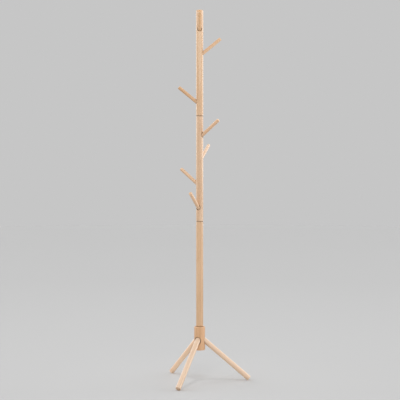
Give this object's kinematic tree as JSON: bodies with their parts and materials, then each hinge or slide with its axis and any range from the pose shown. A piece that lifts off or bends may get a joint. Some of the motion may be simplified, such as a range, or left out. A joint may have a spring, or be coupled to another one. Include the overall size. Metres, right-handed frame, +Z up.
{
  "type": "coat rack",
  "caption": "Free-standing wooden coat rack: a straight turned pole in screwed sections, upward-sloping round pegs set in a spiral, and a hub on splayed dowel legs.",
  "frame": {"origin": "the point where the pole's axis meets the floor", "axes": "+Z up along the pole's axis, -Y to the front, where the topmost peg points, and +X to the right as seen from the front"},
  "size_m": [0.3922, 0.4267, 1.761],
  "materials": {
    "wood_upper_pole": "clear matt lacquer on light hardwood",
    "wood_middle_pole": "clear matt lacquer on light hardwood",
    "wood_lower_pole": "clear matt lacquer on a warmer length of the same hardwood",
    "wood_hub": "clear matt lacquer on a warmer block of the same hardwood",
    "wood_leg": "clear matt lacquer on light hardwood",
    "wood_peg": "clear matt lacquer on light hardwood",
    "steel": "zinc plated",
    "brass": "plain"
  },
  "bodies": {
    "hub": {"hub": "wood_hub", "hub_insert": "brass", "leg_inserts": "brass"},
    "leg_right": {"leg_right": "wood_leg", "leg_right_stud": "steel"},
    "leg_back": {"leg_back": "wood_leg", "leg_back_stud": "steel"},
    "leg_front": {"leg_front": "wood_leg", "leg_front_stud": "steel"},
    "lower_pole": {"lower_pole": "wood_lower_pole", "lower_pole_stud": "steel", "lower_pole_insert": "brass"},
    "middle_pole": {"middle_pole": "wood_middle_pole", "middle_pole_stud": "steel", "middle_pole_insert": "brass", "middle_peg_inserts": "brass"},
    "middle_peg_1": {"middle_peg_1": "wood_peg", "middle_peg_1_stud": "steel"},
    "middle_peg_2": {"middle_peg_2": "wood_peg", "middle_peg_2_stud": "steel"},
    "middle_peg_3": {"middle_peg_3": "wood_peg", "middle_peg_3_stud": "steel"},
    "middle_peg_4": {"middle_peg_4": "wood_peg", "middle_peg_4_stud": "steel"},
    "upper_pole": {"upper_pole": "wood_upper_pole", "upper_pole_stud": "steel", "upper_peg_inserts": "brass"},
    "upper_peg_1": {"upper_peg_1": "wood_peg", "upper_peg_1_stud": "steel"},
    "upper_peg_2": {"upper_peg_2": "wood_peg", "upper_peg_2_stud": "steel"},
    "upper_peg_3": {"upper_peg_3": "wood_peg", "upper_peg_3_stud": "steel"},
    "upper_peg_4": {"upper_peg_4": "wood_peg", "upper_peg_4_stud": "steel"}
  },
  "joints": [
    {"name": "leg_right_turn", "type": "hinge", "parent": "hub", "child": "leg_right", "pos_m": [0.01465, 0.00141, 0.20221], "axis": [0.7512, 0.0723, -0.6561], "range_deg": [0, 180]},
    {"name": "leg_back_turn", "type": "hinge", "parent": "hub", "child": "leg_back", "pos_m": [-0.00855, 0.01198, 0.20221], "axis": [-0.4383, 0.6144, -0.6561], "range_deg": [0, 180]},
    {"name": "leg_front_turn", "type": "hinge", "parent": "hub", "child": "leg_front", "pos_m": [-0.0061, -0.01339, 0.20221], "axis": [-0.313, -0.6868, -0.6561], "range_deg": [0, 180]},
    {"name": "lower_pole_turn", "type": "hinge", "parent": "hub", "child": "lower_pole", "pos_m": [0, 0, 0.261], "axis": [0, 0, 1], "range_deg": [0, 180]},
    {"name": "middle_pole_turn", "type": "hinge", "parent": "lower_pole", "child": "middle_pole", "pos_m": [0, 0, 0.761], "axis": [0, 0, 1], "range_deg": [0, 180]},
    {"name": "middle_peg_1_turn", "type": "hinge", "parent": "middle_pole", "child": "middle_peg_1", "pos_m": [0.00555, -0.00271, 1.16409], "axis": [0.6935, -0.3383, 0.6361], "range_deg": [0, 180]},
    {"name": "middle_peg_2_turn", "type": "hinge", "parent": "middle_pole", "child": "middle_peg_2", "pos_m": [0.00271, 0.00555, 1.04959], "axis": [0.3383, 0.6935, 0.6361], "range_deg": [0, 180]},
    {"name": "middle_peg_3_turn", "type": "hinge", "parent": "middle_pole", "child": "middle_peg_3", "pos_m": [-0.00555, 0.00271, 0.93509], "axis": [-0.6935, 0.3383, 0.6361], "range_deg": [0, 180]},
    {"name": "middle_peg_4_turn", "type": "hinge", "parent": "middle_pole", "child": "middle_peg_4", "pos_m": [-0.00271, -0.00555, 0.82059], "axis": [-0.3383, -0.6935, 0.6361], "range_deg": [0, 180]},
    {"name": "upper_pole_turn", "type": "hinge", "parent": "middle_pole", "child": "upper_pole", "pos_m": [0, 0, 1.261], "axis": [0, 0, 1], "range_deg": [0, 180]},
    {"name": "upper_peg_1_turn", "type": "hinge", "parent": "upper_pole", "child": "upper_peg_1", "pos_m": [0, -0.00617, 1.66409], "axis": [0, -0.7716, 0.6361], "range_deg": [0, 180]},
    {"name": "upper_peg_2_turn", "type": "hinge", "parent": "upper_pole", "child": "upper_peg_2", "pos_m": [0.00617, 0, 1.54959], "axis": [0.7716, 0, 0.6361], "range_deg": [0, 180]},
    {"name": "upper_peg_3_turn", "type": "hinge", "parent": "upper_pole", "child": "upper_peg_3", "pos_m": [0, 0.00617, 1.43509], "axis": [0, 0.7716, 0.6361], "range_deg": [0, 180]},
    {"name": "upper_peg_4_turn", "type": "hinge", "parent": "upper_pole", "child": "upper_peg_4", "pos_m": [-0.00617, 0, 1.32059], "axis": [-0.7716, 0, 0.6361], "range_deg": [0, 180]}
  ]
}
